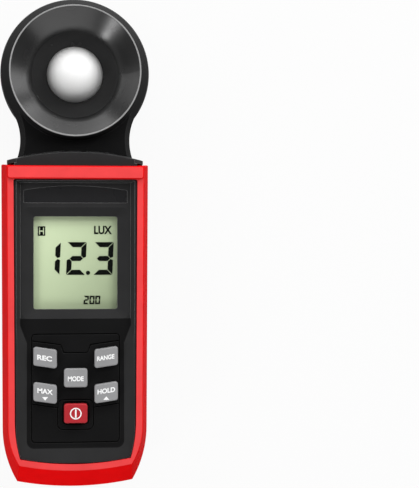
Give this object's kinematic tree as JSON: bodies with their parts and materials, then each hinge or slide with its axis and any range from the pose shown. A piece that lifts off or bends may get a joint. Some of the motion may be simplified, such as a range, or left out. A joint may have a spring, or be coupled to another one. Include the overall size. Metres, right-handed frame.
{
  "type": "lux meter",
  "caption": "Hand-held digital light meter: flat case with red frame, display and keys, and a swivelling round sensor head with a white dome.",
  "frame": {"origin": "centre of the resting face, below the middle of the overall length", "axes": "+X to the right seen from the front, +Y from the foot towards the sensor head, +Z out of the front; the meter lies on its back"},
  "size_m": [0.0576, 0.189, 0.0277],
  "materials": {
    "black_plastic": "moulded plastic, satin, finely grained",
    "funnel_black": "moulded plastic, smooth satin",
    "red_plastic": "moulded plastic, satin",
    "key_grey": "silicone rubber with a satin coat",
    "key_red": "silicone rubber with a satin coat",
    "plate_black": "polycarbonate foil, satin",
    "window_clear": "clear acrylic, polished",
    "display_green": "reflective liquid crystal display",
    "holder_white": "moulded plastic",
    "strip_rubber": "silicone connector strip",
    "board_green": "glass-epoxy circuit board with solder mask",
    "part_black": "moulded component package",
    "contact_steel": "nickel-plated spring steel",
    "screw_steel": "blackened steel",
    "cell_skin": "plain printed cell jacket",
    "shaft_alloy": "die-cast alloy, as cast",
    "bush_plastic": "acetal",
    "dome_white": "opal diffusing plastic, fine satin",
    "filter_glass": "green correcting filter",
    "diode_case": "metal can",
    "lead_black": "sheathed cable"
  },
  "bodies": {
    "case": {"rear_cover": "black_plastic", "battery_cell_left": "cell_skin", "battery_cell_centre": "cell_skin", "battery_cell_right": "cell_skin", "battery_springs": "contact_steel", "battery_plates": "contact_steel", "case_screws": "screw_steel", "main_board": "board_green", "board_screws": "screw_steel", "processor_chip": "part_black", "board_parts": "part_black", "switch_housings": "part_black", "sensor_socket": "holder_white", "case_lead": "lead_black", "lcd_window": "window_clear", "lcd_glass": "display_green", "lcd_holder": "holder_white", "lcd_strips": "strip_rubber", "name_plate": "plate_black", "front_shell": "black_plastic", "front_frame": "red_plastic", "collar_bush": "bush_plastic"},
    "head": {"head_front_shell": "funnel_black", "head_rear_shell": "black_plastic", "head_screws": "screw_steel", "diffuser_dome": "dome_white", "sensor_board": "board_green", "photodiode": "diode_case", "optical_filter": "filter_glass", "head_lead": "lead_black", "swivel_shaft": "shaft_alloy", "swivel_clip": "contact_steel", "friction_washer": "contact_steel"},
    "door": {"battery_door": "black_plastic"},
    "rec_key": {"key_rec": "key_grey", "plunger_rec": "part_black"},
    "range_key": {"key_range": "key_grey", "plunger_range": "part_black"},
    "mode_key": {"key_mode": "key_grey", "plunger_mode": "part_black"},
    "max_key": {"key_max": "key_grey", "plunger_max": "part_black"},
    "hold_key": {"key_hold": "key_grey", "plunger_hold": "part_black"},
    "power_key": {"key_power": "key_red", "plunger_power": "part_black"}
  },
  "joints": [
    {"name": "head_swivel", "type": "hinge", "parent": "case", "child": "head", "pos_m": [0, 0.0351, 0.013], "axis": [0, 1, 0], "range_deg": [-90, 180]},
    {"name": "door_slide", "type": "slide", "parent": "case", "child": "door", "axis": [0, -1, 0], "range_m": [0, 0.058]},
    {"name": "rec_press", "type": "slide", "parent": "case", "child": "rec_key", "axis": [0, 0, -1], "range_m": [0, 0.0007], "stiffness_N_per_m": 400},
    {"name": "range_press", "type": "slide", "parent": "case", "child": "range_key", "axis": [0, 0, -1], "range_m": [0, 0.0007], "stiffness_N_per_m": 400},
    {"name": "mode_press", "type": "slide", "parent": "case", "child": "mode_key", "axis": [0, 0, -1], "range_m": [0, 0.0007], "stiffness_N_per_m": 400},
    {"name": "max_press", "type": "slide", "parent": "case", "child": "max_key", "axis": [0, 0, -1], "range_m": [0, 0.0007], "stiffness_N_per_m": 400},
    {"name": "hold_press", "type": "slide", "parent": "case", "child": "hold_key", "axis": [0, 0, -1], "range_m": [0, 0.0007], "stiffness_N_per_m": 400},
    {"name": "power_press", "type": "slide", "parent": "case", "child": "power_key", "axis": [0, 0, -1], "range_m": [0, 0.0007], "stiffness_N_per_m": 400}
  ]
}
